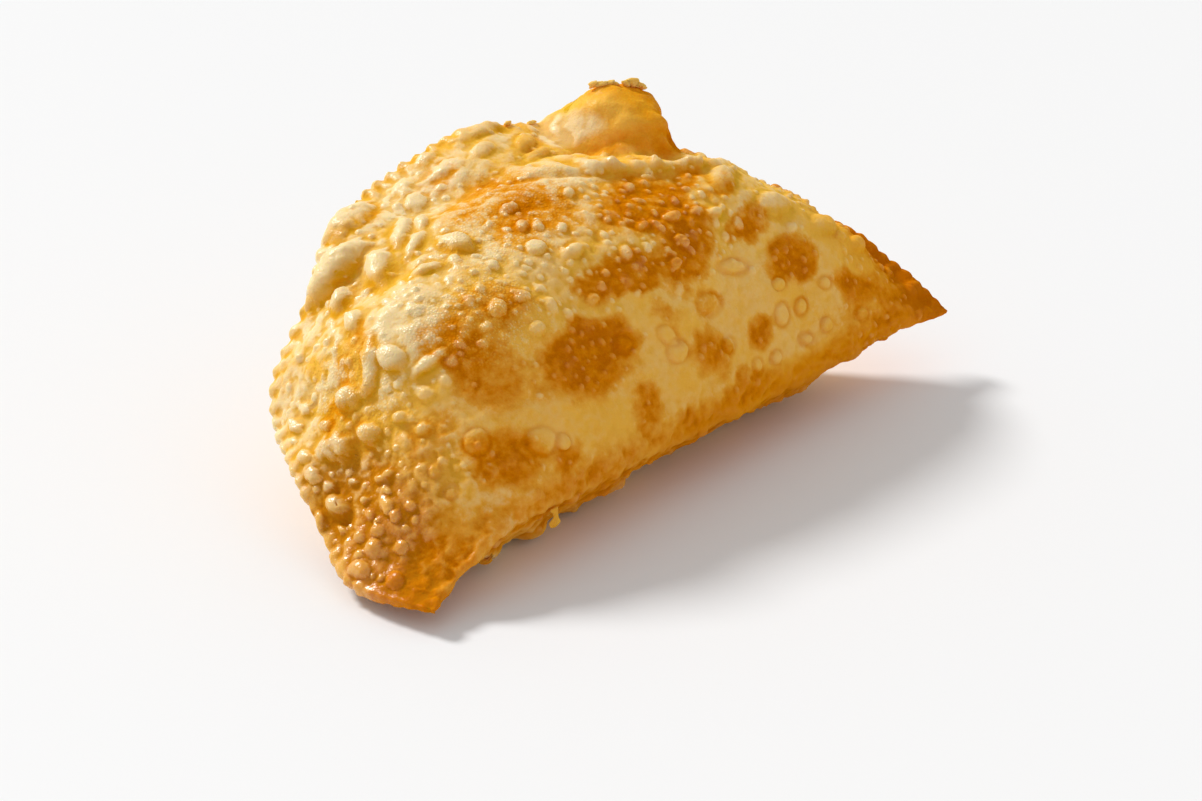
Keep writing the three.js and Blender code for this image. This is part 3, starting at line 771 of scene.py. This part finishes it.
class Term:
    """A number carried by a socket, on which sums can be written."""

    def __init__(self, owner, socket):
        self.owner, self.socket = owner, socket

    def __add__(self, other):
        return self.owner.math("ADD", self, other)

    def __sub__(self, other):
        return self.owner.math("SUBTRACT", self, other)

    def __rsub__(self, other):
        return self.owner.math("SUBTRACT", other, self)

    def __mul__(self, other):
        return self.owner.math("MULTIPLY", self, other)

    def __truediv__(self, other):
        return self.owner.math("DIVIDE", self, other)

    def __pow__(self, other):
        return self.owner.math("POWER", self, other)

    __radd__ = __add__
    __rmul__ = __mul__

    def clamped(self):
        return self.owner.math("MINIMUM", self.owner.math("MAXIMUM", self, 0.0), 1.0)

    def eased(self, low, high):
        t = ((self - low) * (1.0 / (high - low))).clamped()
        return t * t * (3.0 - t * 2.0)


def new_group(name, sockets):
    group = bpy.data.node_groups.new(name, "GeometryNodeTree")
    group.interface.new_socket("Geometry", in_out="OUTPUT", socket_type="NodeSocketGeometry")
    for socket_name, kind in sockets:
        group.interface.new_socket(socket_name, in_out="INPUT", socket_type="NodeSocket" + kind)
    tree = Tree(group)
    given = tree.node("NodeGroupInput").outputs
    return tree, given, tree.node("NodeGroupOutput")


def close_group(tree, result, given, geometry):
    """Every group ends in Realize Instances and Set Material."""
    whole = tree.node("GeometryNodeRealizeInstances", Geometry=geometry).outputs[0]
    whole = tree.node("GeometryNodeSetMaterial", Geometry=whole, Material=given["Finish"]).outputs[0]
    tree.fill(result, "Geometry", whole)
    return tree.tree


def make_blister_field():
    """Seeds scattered where the dough says so, each raising a dome of its own size and turn."""
    tree, given, result = new_group(
        "blister_field",
        (
            ("Geometry", "Geometry"), ("Crowding", "String"), ("Face", "Float"),
            ("Density", "Float"), ("Spacing", "Float"), ("Smallest", "Float"), ("Largest", "Float"),
            ("Steepness", "Float"), ("Wander", "Float"), ("Seed", "Int"), ("Finish", "Material"),
        ),
    )
    on_face = tree.math("COMPARE", tree.named("side"), given["Face"], 0.4)
    scatter = tree.node(
        "GeometryNodeDistributePointsOnFaces", {"distribute_method": "POISSON"},
        Mesh=given["Geometry"], Distance_Min=given["Spacing"], Density_Max=given["Density"],
        Density_Factor=tree.named(given["Crowding"]) * on_face, Seed=given["Seed"],
    )
    chance = tree.node("FunctionNodeRandomValue", {"data_type": "FLOAT"}, Seed=given["Seed"])
    draw = Term(tree, chance.outputs[1])
    smallest = Term(tree, given["Smallest"])
    size = smallest + (Term(tree, given["Largest"]) - smallest) * draw * draw
    heading = tree.node("FunctionNodeRandomValue", {"data_type": "FLOAT_VECTOR"}, Seed=given["Seed"])
    heading.inputs[0].default_value = (-1, -1, -1)
    heading.inputs[1].default_value = (1, 1, 1)
    seeds = tree.stored(scatter.outputs["Points"], "blister_size", size)
    seeds = tree.stored(seeds, "blister_heading", heading.outputs[0], "FLOAT_VECTOR")
    nearest = tree.node("GeometryNodeSampleNearest", {"domain": "POINT"}, Geometry=seeds).outputs[0]

    def of_nearest_seed(value, kind):
        made = tree.node(
            "GeometryNodeSampleIndex", {"data_type": kind, "domain": "POINT"},
            Geometry=seeds, Value=value, Index=nearest,
        )
        return made.outputs["Value"]

    here = tree.node("GeometryNodeInputPosition").outputs[0]
    # its foot wanders, so that no two blisters are round alike
    wavy = tree.node("ShaderNodeTexNoise", {"noise_dimensions": "3D"}, Scale=260.0, Detail=1.0)
    shift = tree.vector("SUBTRACT", wavy.outputs["Color"], (0.5, 0.5, 0.5))
    offset = tree.vector("SUBTRACT", here, of_nearest_seed(here, "FLOAT_VECTOR"))
    offset = tree.vector("ADD", offset, tree.scaled(shift, given["Wander"]))
    run = of_nearest_seed(tree.named("blister_heading", "FLOAT_VECTOR"), "FLOAT_VECTOR")
    run = tree.vector("NORMALIZE", run)
    lengthways = tree.vector("DOT_PRODUCT", offset, run, output="Value")
    distance = tree.vector("LENGTH", offset, output="Value")
    radius = Term(tree, of_nearest_seed(tree.named("blister_size"), "FLOAT"))
    # an oval a third longer than wide
    squared = (distance * distance - lengthways * lengthways * 0.4) / (radius * radius)
    profile = (1.0 - squared).clamped() ** 1.2 * on_face
    rise = profile * radius * Term(tree, given["Steepness"])
    lift = tree.scaled(tree.node("GeometryNodeInputNormal").outputs[0], rise)
    moved = tree.node("GeometryNodeSetPosition", Geometry=given["Geometry"], Offset=lift).outputs[0]
    moved = tree.stored(moved, "dome", tree.math("MAXIMUM", tree.named("dome"), profile))
    return close_group(tree, result, given, moved)


def make_dough_unevenness():
    """Soft waves and lumps in the dough, where the named attribute says so."""
    tree, given, result = new_group(
        "dough_unevenness",
        (
            ("Geometry", "Geometry"), ("Where", "String"), ("Scale", "Float"), ("Depth", "Float"),
            ("Curl", "Float"), ("Finish", "Material"),
        ),
    )
    waves = tree.node(
        "ShaderNodeTexNoise", {"noise_dimensions": "3D"}, Scale=given["Scale"], Detail=1.0,
        Roughness=0.5, Distortion=given["Curl"],
    )
    depth = Term(tree, given["Depth"]) * tree.named(given["Where"])
    rise = (Term(tree, waves.outputs[0]) - 0.5) * depth
    lift = tree.scaled(tree.node("GeometryNodeInputNormal").outputs[0], rise)
    moved = tree.node("GeometryNodeSetPosition", Geometry=given["Geometry"], Offset=lift).outputs[0]
    return close_group(tree, result, given, moved)


crust = bpy.data.materials.new("fried_crust")
blister_field = make_blister_field()
dough_unevenness = make_dough_unevenness()

cheburek = bpy.data.objects.new("cheburek_crust", crust_mesh)
bpy.context.scene.collection.objects.link(cheburek)


def lay(group, **values):
    """Lay one group over the crust, its inputs given by name."""
    modifier = cheburek.modifiers.new(group.name, "NODES")
    modifier.node_group = group
    for item in group.interface.items_tree:
        if item.in_out == "INPUT" and item.name in values:
            modifier[item.identifier] = values[item.name]
        elif item.in_out == "INPUT" and item.name == "Finish":
            modifier[item.identifier] = crust


lay(dough_unevenness, Where="everywhere", Scale=45.0, Depth=0.0030)
lay(dough_unevenness, Where="everywhere", Scale=150.0, Depth=0.0018)
lay(dough_unevenness, Where="everywhere", Scale=380.0, Depth=0.0007)
lay(dough_unevenness, Where="lumpy", Scale=110.0, Depth=0.0030)
lay(dough_unevenness, Where="lumpy", Scale=290.0, Depth=0.0018)
lay(dough_unevenness, Where="puffy", Scale=170.0, Depth=0.0012, Curl=0.8)
lay(dough_unevenness, Where="puffy", Scale=360.0, Depth=0.0006, Curl=1.2)
lay(blister_field, Crowding="crowd", Face=1.0, Density=50000.0, Spacing=0.0048,
    Smallest=0.0012, Largest=0.0024, Steepness=0.48, Wander=0.0018, Seed=3)
lay(blister_field, Crowding="crowd_fine", Face=1.0, Density=260000.0, Spacing=0.0026,
    Smallest=0.0007, Largest=0.0013, Steepness=0.53, Wander=0.0008, Seed=7)
lay(blister_field, Crowding="crowd_under", Face=-1.0, Density=12000.0, Spacing=0.0110,
    Smallest=0.0022, Largest=0.0046, Steepness=0.32, Wander=0.0030, Seed=11)
lay(blister_field, Crowding="crowd_under", Face=-1.0, Density=40000.0, Spacing=0.0050,
    Smallest=0.0010, Largest=0.0020, Steepness=0.5, Wander=0.0014, Seed=5)


def fixed_mesh(piece):
    """The piece's mesh with its modifiers worked in."""
    graph = bpy.context.evaluated_depsgraph_get()
    mesh = bpy.data.meshes.new_from_object(piece.evaluated_get(graph))
    piece.modifiers.clear()
    return mesh


blistered_mesh = fixed_mesh(cheburek)
spots = np.empty(len(blistered_mesh.vertices) * 3)
blistered_mesh.vertices.foreach_get("co", spots)
spots = settled(spots.reshape(-1, 3) / MM)
ends = np.empty(len(blistered_mesh.edges) * 2, int)
blistered_mesh.edges.foreach_get("vertices", ends)
ends = ends.reshape(-1, 2)
neighbours = np.bincount(ends.ravel(), minlength=len(spots))


def smoothed(start, rounds):
    """The points drawn again and again toward the mean of their neighbours."""
    places = start
    for _ in range(rounds):
        total = [
            np.bincount(ends[:, 0], places[ends[:, 1], axis], len(spots))
            + np.bincount(ends[:, 1], places[ends[:, 0], axis], len(spots))
            for axis in range(3)
        ]
        places = 0.2 * places + 0.8 * np.stack(total, axis=1) / neighbours[:, None]
    return places


def normals_at(places):
    """Move the crust's points there and read its normals."""
    blistered_mesh.vertices.foreach_set("co", (places * MM).ravel())
    blistered_mesh.update()
    normals = np.empty(len(places) * 3)
    blistered_mesh.vertex_normals.foreach_get("vector", normals)
    return normals.reshape(-1, 3)


# how far each point stands out of the crust near it, against these heights, and how much it
# turns away from the light: the finish colours tops and hollows apart, and paints shade into
# the hollows and the sides turned away from the light
FINE_HEIGHT = 0.2
BROAD_HEIGHT = 1.2
fine = smoothed(spots, 15)
broad = smoothed(fine, 70)
shade_tilt = 1.8 * (normals_at(fine) - normals_at(broad)) @ AWAY_FROM_LIGHT
store(blistered_mesh, "shade_tilt", np.clip(shade_tilt, -1, 1))
normals = normals_at(spots)
relief = ((spots - fine) * normals).sum(axis=1) / FINE_HEIGHT
store(blistered_mesh, "relief", np.clip(relief, -1, 1) * (1 - np.maximum(disc, outline)))
lumps = ((spots - broad) * normals).sum(axis=1) / BROAD_HEIGHT
store(blistered_mesh, "broad", np.clip(lumps, -1, 1))

TRIANGLES_KEPT = 194000
cheburek.data = blistered_mesh
cheburek.modifiers.new("thinned", "DECIMATE").ratio = TRIANGLES_KEPT / len(triangles)
cheburek.data = fixed_mesh(cheburek)
bpy.data.meshes.remove(blistered_mesh)
bpy.data.meshes.remove(crust_mesh)
cheburek.data.shade_smooth()
cheburek.data.materials.clear()
cheburek.data.materials.append(crust)

# ---------------------------------------------------------------------------
# The crust's finish: pale cream dough turned gold, then orange-brown in
# patches with fine specks, paler on the blisters, under a thin film of oil.
# Painted shade darkens its hollows and the sides turned away from the light,
# a painted highlight pales the tops of the small blisters, and the front's
# gold stands partly for warm bounced light.
# ---------------------------------------------------------------------------
CREAM = (0.95, 0.71, 0.36, 1)
GOLD = (0.93, 0.50, 0.07, 1)
AMBER = (0.86, 0.34, 0.004, 1)
BROWN = (0.74, 0.235, 0.001, 1)
DARK = (0.50, 0.12, 0.001, 1)
# the tops of small blisters, paler dough with a painted highlight; painted shade for the hollows and
# the sides turned away from the light; the corner, coloured darker
DOME_TOP_AND_HIGHLIGHT = (0.97, 0.70, 0.32, 1)
PAINTED_SHADE = (0.70, 0.365, 0.012, 1)
CORNER_DARKER = (0.53, 0.185, 0.004, 1)

crust.use_nodes = True
paint = Tree(crust.node_tree)
crust.node_tree.nodes.clear()
place_on = paint.node("ShaderNodeTexCoord").outputs["Object"]


def noise(scale, detail=2.0, roughness=0.5):
    made = paint.node(
        "ShaderNodeTexNoise", {"noise_dimensions": "3D"},
        Vector=place_on, Scale=scale, Detail=detail, Roughness=roughness,
    )
    return Term(paint, made.outputs[0])


def painted(name):
    return Term(paint, paint.node("ShaderNodeAttribute", {"attribute_name": name}).outputs["Fac"])


def mix(amount, first, second):
    made = paint.tree.nodes.new("ShaderNodeMix")
    made.data_type = "RGBA"
    paint.fill(made, "#0", amount)
    for index, value in ((6, first), (7, second)):
        paint.fill(made, f"#{index}", value)
    return made.outputs[2]


brown_at = painted("brown")
gold_at = painted("gold")
relief_at = painted("relief")
broad_at = painted("broad")
shade_tilt_at = painted("shade_tilt")
dome_at = painted("dome")
ring_at = painted("outline")
oiled_at = painted("oiled")
wet_at = painted("wet")
shine_at = painted("shine")
cloudy = noise(70, 3.0, 0.6) - 0.5
grainy = noise(420, 3.0, 0.65) - 0.5
# pimples less than a millimetre apart roughen the sandy places
cells = paint.node("ShaderNodeTexVoronoi", {"feature": "F1"}, Vector=place_on, Scale=1250.0)
pimple = (1.0 - Term(paint, cells.outputs["Distance"]) * 1.6).clamped()
sandy = (painted("sandy") + cloudy).clamped()
speckle = cloudy * 0.9 + grainy * 1.0 + (0.45 - pimple) * sandy * 0.4
speckle = speckle * (gold_at.clamped() * 0.4 + brown_at.clamped() * 0.4 + 0.35)
standing_out = relief_at * (oiled_at * brown_at.clamped() * 0.35 + 0.05)
fried = (brown_at + speckle - standing_out).eased(0.05, 0.95)
deep = (brown_at + speckle * 1.2 - relief_at * 0.25 + ring_at * 0.2).eased(0.7, 1.3)
mottled = (noise(38, 2.0) - 0.5) * 0.8 + (noise(150, 2.0) - 0.5) * 1.1 + grainy * 0.6
mottled = mottled * (1.0 - gold_at * 0.6)
amber_at = (painted("amber") + shade_tilt_at.eased(0.25, 0.9) * gold_at * 0.15).clamped()
# dough goes gold first, then amber, then brown; what stands out stays paler, and the sides turned away
# from the light are painted deeper gold and amber as shade
golden = gold_at + mottled + (0.45 - pimple) * sandy * 0.8
golden = golden - relief_at * (oiled_at * 0.24 + 0.05) - broad_at * 0.1
golden = golden + shade_tilt_at * 0.22 + wet_at * 0.5
golden = golden + amber_at * 1.2 + (fried * 1.3 - 0.25).clamped()
colour = mix(golden.clamped(), CREAM, GOLD)
# painted shade: hollows and the sides turned away from the light are mixed toward a darker gold
painted_shade_at = shade_tilt_at.eased(0.15, 0.9) * 0.7 + painted("shaded_side") * 0.55
painted_shade_at = painted_shade_at + (0.0 - relief_at).eased(0.05, 0.8) * oiled_at * 0.5
colour = mix((painted_shade_at * (1.0 - brown_at.clamped() * 0.6)).clamped(), colour, PAINTED_SHADE)
colour = mix(amber_at * amber_at, colour, AMBER)
# the outlines of sunken blisters go brown and dark: partly browning, partly painted shade in their
# grooves
colour = mix((fried + ring_at * (cloudy * 2.0 + 0.45)).clamped(), colour, BROWN)
colour = mix(deep * 0.65, colour, DARK)
# the tops of small blisters go paler: partly paler dough, partly a painted highlight
dome_top_and_highlight = dome_at * dome_at * (0.46 - brown_at * 0.34) * (1.0 - wet_at * 0.7)
colour = mix(dome_top_and_highlight.clamped(), colour, DOME_TOP_AND_HIGHLIGHT)
colour = mix((dome_at * wet_at * 0.8).clamped(), colour, GOLD)
# the drooping corner is coloured darker
colour = mix((wet_at * 0.58 * (1.0 - relief_at * 0.7)).clamped(), colour, CORNER_DARKER)

bump_height = grainy * 0.4 + noise(1100, 2.0, 0.6) * 0.3 + pimple * (sandy * 0.35 + 0.1)
bump = paint.node("ShaderNodeBump", Strength=0.8, Distance=0.0006, Height=bump_height)


def shell(roughness, gloss):
    """The crust under an oil film of the given roughness and gloss."""
    made = paint.node("ShaderNodeBsdfPrincipled")
    paint.fill(made, "Base Color", colour)
    paint.fill(made, "Roughness", roughness)
    paint.fill(made, "Normal", bump.outputs[0])
    made.inputs["IOR"].default_value = 1.45
    made.inputs["Specular IOR Level"].default_value = gloss
    made.inputs["Subsurface Weight"].default_value = 0.3
    made.inputs["Subsurface Radius"].default_value = (1.0, 0.75, 0.25)
    made.inputs["Subsurface Scale"].default_value = 0.0025
    return made.outputs[0]


# oil stands on the tops and left the hollows and the smooth front nearly dry
dry = shell(0.6, 0.0)
oily = shell(0.3 - 0.06 * shine_at + 0.3 * grainy, 0.8)
film = relief_at * 0.6 + dome_at * 0.6 + cloudy * (1.2 - shine_at * 0.8) + shine_at * 0.55
film = ((film - 0.05).clamped() * oiled_at).clamped()
skin = paint.node("ShaderNodeMixShader")
paint.fill(skin, "#0", film)
paint.tree.links.new(dry, skin.inputs[1])
paint.tree.links.new(oily, skin.inputs[2])
surface = paint.node("ShaderNodeOutputMaterial")
paint.tree.links.new(skin.outputs[0], surface.inputs["Surface"])

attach(cheburek, "root")
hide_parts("cheburek")

# ---------------------------------------------------------------------------
# A flake of batter-thin dough that stuck to the fold while it fried and hangs
# from its underside near the drooping corner: a thin twisted scrap, 5 mm long.
# ---------------------------------------------------------------------------
FLAKE_AT = -57.7
FLAKE_DROP = 5.2
# from the fold down to the tip
FLAKE_HALF_WIDTHS = (1.9, 1.2, 0.8, 0.7, 0.9, 1.9, 1.5, 0.5)
FLAKE_HALF_THICKNESS = 0.28
FLAKE_TWIST = 0.5
FLAKE_SIDES = 14
hangs_from = leaning_sheet(np.array([FLAKE_AT]), np.array([0.0]))[0]
hangs_from = hangs_from + (0, cad_box[0][1] / MM + 0.2, -0.2)
flake_points = []
for row, half in enumerate(FLAKE_HALF_WIDTHS):
    t = row / (len(FLAKE_HALF_WIDTHS) - 1)
    sway = (0.5 * math.sin(3 * t) - 0.9 * t * t, -0.5 * math.sin(2.4 * t), -FLAKE_DROP * t)
    twist = FLAKE_TWIST * t
    for step in range(FLAKE_SIDES):
        a = 2 * math.pi * step / FLAKE_SIDES
        across = half * math.cos(a) * (1 + 0.12 * math.sin(5 * row + 2 * a))
        thick = FLAKE_HALF_THICKNESS * math.sin(a)
        flake_points.append(hangs_from + sway + (
            across * math.cos(twist) + thick * math.sin(twist),
            thick * math.cos(twist) - across * math.sin(twist),
            0.25 * math.sin(3 * a + row),
        ))
top_end = tuple(range(FLAKE_SIDES))
tip_end = tuple(reversed(range(len(flake_points) - FLAKE_SIDES, len(flake_points))))
flake_faces = [top_end]
for row in range(len(FLAKE_HALF_WIDTHS) - 1):
    for step in range(FLAKE_SIDES):
        a, b = row * FLAKE_SIDES + step, row * FLAKE_SIDES + (step + 1) % FLAKE_SIDES
        flake_faces.append((a, a + FLAKE_SIDES, b + FLAKE_SIDES, b))
flake_faces.append(tip_end)
flake_mesh = bpy.data.meshes.new("flake")
flake_mesh.from_pydata((np.array(flake_points) * MM).tolist(), [], flake_faces)
flake_mesh.materials.append(crust)
for name, amount in (("brown", 0.4), ("gold", 0.8), ("amber", 0.3), ("sandy", 0.3)):
    store(flake_mesh, name, np.full(len(flake_points), amount))
flake = bpy.data.objects.new("hanging_flake", flake_mesh)
bpy.context.scene.collection.objects.link(flake)
rounding = flake.modifiers.new("rounding", "SUBSURF")
rounding.levels = 2
rounding.render_levels = 2
flake_mesh.shade_smooth()
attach(flake, "root")
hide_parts("cheburek")

# ---------------------------------------------------------------------------
# Crumbs of batter-thin dough that caught on the rim where the bubble lifted it:
# ragged lumps a few millimetres long, fried on, gold with pale tops.
# ---------------------------------------------------------------------------
# degrees along the rim, half length, half width, half height, how far it stands up
RIM_CRUMBS = (
    (68.9, 1.5, 0.8, 0.9, 1.3), (68.0, 1.9, 1.0, 0.8, 0.9), (66.9, 1.6, 0.9, 0.7, 0.6),
    (66.0, 1.3, 0.8, 0.6, 0.4), (64.2, 1.6, 1.0, 1.0, 0.9), (63.1, 2.0, 1.2, 1.2, 1.3),
    (62.0, 1.7, 1.1, 0.9, 0.8), (76.0, 1.3, 0.9, 0.7, 0.3), (80.5, 1.1, 0.8, 0.6, 0.3),
)
crumbs = bmesh.new()
for number, (at_degrees, long, wide, high, stands) in enumerate(RIM_CRUMBS):
    angle = np.radians(np.array([at_degrees - 0.4, at_degrees, at_degrees + 0.4]))
    reach = along(REACH, np.degrees(angle)) - 0.6
    at_rim = upper_face(reach * np.cos(angle), reach * np.sin(angle)) + IN_FRAME
    run = unit(at_rim[2] - at_rim[0])
    lump = bmesh.ops.create_icosphere(crumbs, subdivisions=3, radius=1)["verts"]
    ball = np.array([vert.co for vert in lump])
    ragged = 1 + 0.45 * cloud(ball + 7 * number, 0.7, 21) + 0.2 * cloud(ball + 5 * number, 0.3, 22)
    ball = ball * np.clip(ragged, 0.45, 1.6)[:, None]
    across = unit(np.cross(run, (0, 0, 1)))
    up = np.cross(across, run)
    placed = at_rim[1] + up * stands + ball @ np.array([run * long, across * wide, up * high])
    for vert, spot in zip(lump, placed * MM):
        vert.co = spot
bmesh.ops.recalc_face_normals(crumbs, faces=crumbs.faces)
crumb_mesh = bpy.data.meshes.new("crumbs")
crumbs.to_mesh(crumb_mesh)
crumbs.free()
crumb_mesh.shade_smooth()
crumb_mesh.materials.append(crust)
for name, amount in (("brown", 0.05), ("gold", 0.55), ("amber", 0.2), ("sandy", 0.2), ("oiled", 0.4)):
    store(crumb_mesh, name, np.full(len(crumb_mesh.vertices), amount))
rim_crumbs = bpy.data.objects.new("rim_crumbs", crumb_mesh)
bpy.context.scene.collection.objects.link(rim_crumbs)
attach(rim_crumbs, "root")
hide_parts("cheburek")

# ---------------------------------------------------------------------------
# Where it stands: a plain pale table, soft light from the back left, a long
# lens from the near corner.
# ---------------------------------------------------------------------------
floor_mesh = bpy.data.meshes.new("table")
floor_mesh.from_pydata([(-4, -4, 0), (4, -4, 0), (4, 4, 0), (-4, 4, 0)], [], [(0, 1, 2, 3)])
floor = bpy.data.objects.new("table", floor_mesh)
bpy.context.scene.collection.objects.link(floor)
table = bpy.data.materials.new("pale_table")
table.use_nodes = True
table.node_tree.nodes["Principled BSDF"].inputs["Base Color"].default_value = (0.88, 0.88, 0.88, 1)
table.node_tree.nodes["Principled BSDF"].inputs["Roughness"].default_value = 0.7
floor_mesh.materials.append(table)

VIEW_TURN = math.radians(-48.6)
VIEW_HEIGHT = math.radians(25.6)
VIEW_DISTANCE = 0.81
AIM = np.array([0.0224, 0.0091, 0.0])
lens = bpy.data.cameras.new("camera")
lens.lens = 85
lens.sensor_width = 36
lens.clip_end = 20
camera = bpy.data.objects.new("camera", lens)
back = np.array([
    math.sin(VIEW_TURN) * math.cos(VIEW_HEIGHT),
    -math.cos(VIEW_TURN) * math.cos(VIEW_HEIGHT),
    math.sin(VIEW_HEIGHT),
])
camera.location = AIM + back * VIEW_DISTANCE
camera.rotation_euler = (math.pi / 2 - VIEW_HEIGHT, 0, VIEW_TURN)
bpy.context.scene.collection.objects.link(camera)
bpy.context.scene.camera = camera

window = bpy.data.lights.new("window", "SUN")
window.energy = 2.45
window.angle = math.radians(14)
window_lamp = bpy.data.objects.new("window", window)
window_lamp.rotation_euler = (math.radians(49), 0, math.radians(184))
bpy.context.scene.collection.objects.link(window_lamp)

world = bpy.data.worlds.new("studio")
world.use_nodes = True
world.node_tree.nodes["Background"].inputs["Color"].default_value = (1, 1, 1, 1)
world.node_tree.nodes["Background"].inputs["Strength"].default_value = 0.56
bpy.context.scene.world = world
bpy.context.scene.view_settings.view_transform = "Standard"
